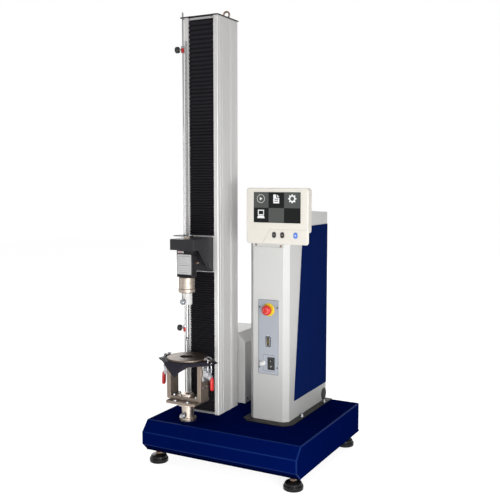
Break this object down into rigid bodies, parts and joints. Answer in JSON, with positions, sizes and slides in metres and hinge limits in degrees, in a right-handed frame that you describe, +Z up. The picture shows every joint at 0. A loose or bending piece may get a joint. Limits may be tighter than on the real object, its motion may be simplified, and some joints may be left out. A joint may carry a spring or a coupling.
{
  "type": "universal testing machine",
  "caption": "Single-column bench testing machine: crosshead with load cell and puncture probe over a clamped sheet fixture, control tower with display head.",
  "frame": {"origin": "on the floor, under the middle of the base cover", "axes": "+X to the right as the operator sees it, +Y from the operator to the rear, +Z up"},
  "size_m": [0.54, 0.516, 1.4452],
  "materials": {
    "navy_paint": "satin powder coat",
    "grey_paint": "satin powder coat",
    "black_paint": "satin",
    "black_rubber": "matt",
    "bellows_cloth": "matt coated cloth",
    "anodised_aluminium": "anodised",
    "bright_steel": "ground",
    "nickel_steel": "nickel plated",
    "frame_steel": "dull",
    "red_plastic": "semi-gloss",
    "yellow_plastic": "semi-gloss",
    "white_plastic": "semi-gloss",
    "cream_plastic": "fine texture",
    "black_plastic": "semi-gloss",
    "blue_plastic": "semi-gloss",
    "screen_glass": "gloss",
    "panel_film": "satin film",
    "white_scale": "satin",
    "specimen_film": "matt film",
    "red_metal": "gloss"
  },
  "bodies": {
    "machine": {"base_cover": "navy_paint", "base_frame": "frame_steel", "levelling_foot_front_left": "black_rubber", "levelling_foot_front_right": "black_rubber", "levelling_foot_rear_left": "black_rubber", "levelling_foot_rear_right": "black_rubber", "column_extrusion": "anodised_aluminium", "column_top_plate": "black_paint", "eye_bolt": "bright_steel", "bellows_upper": "bellows_cloth", "bellows_lower": "bellows_cloth", "scale_strip": "white_scale", "limit_rod": "bright_steel", "top_bearing_block": "anodised_aluminium", "bottom_bearing_block": "anodised_aluminium", "guide_rail": "bright_steel", "drive_motor": "black_paint", "timing_belt": "black_rubber", "motor_cover": "grey_paint", "fixture_stem": "nickel_steel", "fixture_base_plate": "nickel_steel", "fixture_frame": "nickel_steel", "clamp_ring": "nickel_steel", "specimen_sheet": "specimen_film", "latch_base_left": "bright_steel", "latch_base_right": "bright_steel", "tower_shell": "grey_paint", "tower_plinth": "black_rubber", "side_panel": "navy_paint", "cable_plug": "black_rubber", "control_plate": "panel_film", "estop_collar": "yellow_plastic", "display_housing": "cream_plastic", "display_screen": "screen_glass"},
    "crosshead": {"carriage": "anodised_aluminium", "crosshead_arm": "black_paint", "limit_actuator": "black_paint", "load_cell": "black_paint", "upper_coupling": "nickel_steel", "probe_sleeve": "white_plastic", "puncture_probe": "bright_steel"},
    "screw": {"ball_screw": "bright_steel", "screw_pulley": "anodised_aluminium"},
    "motor_rotor": {"motor_pulley": "anodised_aluminium"},
    "upper_stop": {"stop_collar_upper": "red_metal"},
    "lower_stop": {"stop_collar_lower": "red_metal"},
    "coupling_nut": {"coupling_ring": "nickel_steel"},
    "lock_nut": {"base_lock_ring": "nickel_steel"},
    "probe_pin": {"sleeve_pin": "bright_steel"},
    "stem_pin": {"fixture_pin": "bright_steel"},
    "left_handle": {"latch_handle_left": "bright_steel"},
    "left_hook": {"latch_hook_left": "bright_steel"},
    "right_handle": {"latch_handle_right": "bright_steel"},
    "right_hook": {"latch_hook_right": "bright_steel"},
    "emergency_stop": {"estop_button": "red_plastic"},
    "rocker": {"power_rocker": "black_plastic"},
    "knob": {"speed_knob": "white_plastic"},
    "left_button": {"display_button_left": "black_plastic"},
    "middle_button": {"display_button_middle": "black_plastic"},
    "right_button": {"display_button_right": "blue_plastic"}
  },
  "joints": [
    {"name": "crosshead_slide", "type": "slide", "parent": "machine", "child": "crosshead", "axis": [0, 0, 1], "range_m": [-0.168, 0.55], "deforming": ["bellows_upper", "bellows_lower"]},
    {"name": "screw_spin", "type": "hinge", "parent": "machine", "child": "screw", "pos_m": [-0.1465, -0.0294, 0.1393], "axis": [0, 0, 1], "continuous": true},
    {"name": "motor_spin", "type": "hinge", "parent": "machine", "child": "motor_rotor", "pos_m": [-0.1465, 0.1562, 0.1393], "axis": [0, 0, 1], "continuous": true},
    {"name": "upper_stop_slide", "type": "slide", "parent": "machine", "child": "upper_stop", "axis": [0, 0, 1], "range_m": [-0.03, 0.06]},
    {"name": "lower_stop_slide", "type": "slide", "parent": "machine", "child": "lower_stop", "axis": [0, 0, 1], "range_m": [-0.22, 0.11]},
    {"name": "coupling_ring_turn", "type": "hinge", "parent": "crosshead", "child": "coupling_nut", "pos_m": [-0.1465, -0.1794, 0.5637], "axis": [0, 0, 1], "range_deg": [-45, 45]},
    {"name": "base_lock_ring_turn", "type": "hinge", "parent": "machine", "child": "lock_nut", "pos_m": [-0.1465, -0.1794, 0.1393], "axis": [0, 0, 1], "range_deg": [-45, 45]},
    {"name": "sleeve_pin_pull", "type": "slide", "parent": "crosshead", "child": "probe_pin", "axis": [0, -1, 0], "range_m": [0, 0.03]},
    {"name": "fixture_pin_pull", "type": "slide", "parent": "machine", "child": "stem_pin", "axis": [0, -1, 0], "range_m": [0, 0.03]},
    {"name": "latch_handle_left_hinge", "type": "hinge", "parent": "machine", "child": "left_handle", "pos_m": [-0.221, -0.1794, 0.302], "axis": [0, 1, 0], "range_deg": [0, 95]},
    {"name": "latch_hook_left_hinge", "type": "hinge", "parent": "left_handle", "child": "left_hook", "pos_m": [-0.2242, -0.1794, 0.2899], "axis": [0, 1, 0], "range_deg": [-95, 0]},
    {"name": "latch_handle_right_hinge", "type": "hinge", "parent": "machine", "child": "right_handle", "pos_m": [-0.072, -0.1794, 0.302], "axis": [0, -1, 0], "range_deg": [0, 95]},
    {"name": "latch_hook_right_hinge", "type": "hinge", "parent": "right_handle", "child": "right_hook", "pos_m": [-0.0688, -0.1794, 0.2899], "axis": [0, -1, 0], "range_deg": [-95, 0]},
    {"name": "estop_press", "type": "slide", "parent": "machine", "child": "emergency_stop", "axis": [0, 1, 0], "range_m": [0, 0.004], "stiffness_N_per_m": 900},
    {"name": "rocker_tilt", "type": "hinge", "parent": "machine", "child": "rocker", "pos_m": [0.0952, -0.0703, 0.327], "axis": [-1, 0, 0], "range_deg": [0, 18]},
    {"name": "speed_knob_turn", "type": "hinge", "parent": "machine", "child": "knob", "pos_m": [0.0665, -0.0703, 0.3267], "axis": [0, 1, 0], "range_deg": [-135, 135]},
    {"name": "display_button_left_press", "type": "slide", "parent": "machine", "child": "left_button", "axis": [0, 1, 0], "range_m": [0, 0.0012], "stiffness_N_per_m": 500},
    {"name": "display_button_middle_press", "type": "slide", "parent": "machine", "child": "middle_button", "axis": [0, 1, 0], "range_m": [0, 0.0012], "stiffness_N_per_m": 500},
    {"name": "display_button_right_press", "type": "slide", "parent": "machine", "child": "right_button", "axis": [0, 1, 0], "range_m": [0, 0.0012], "stiffness_N_per_m": 500}
  ],
  "couplings": [
    {"joint": "screw_spin", "follows": "crosshead_slide", "rad_per_m": 628.32},
    {"joint": "motor_spin", "follows": "crosshead_slide", "rad_per_m": 1256.6},
    {"joint": "latch_hook_left_hinge", "follows": "latch_handle_left_hinge", "ratio": -1},
    {"joint": "latch_hook_right_hinge", "follows": "latch_handle_right_hinge", "ratio": -1}
  ]
}
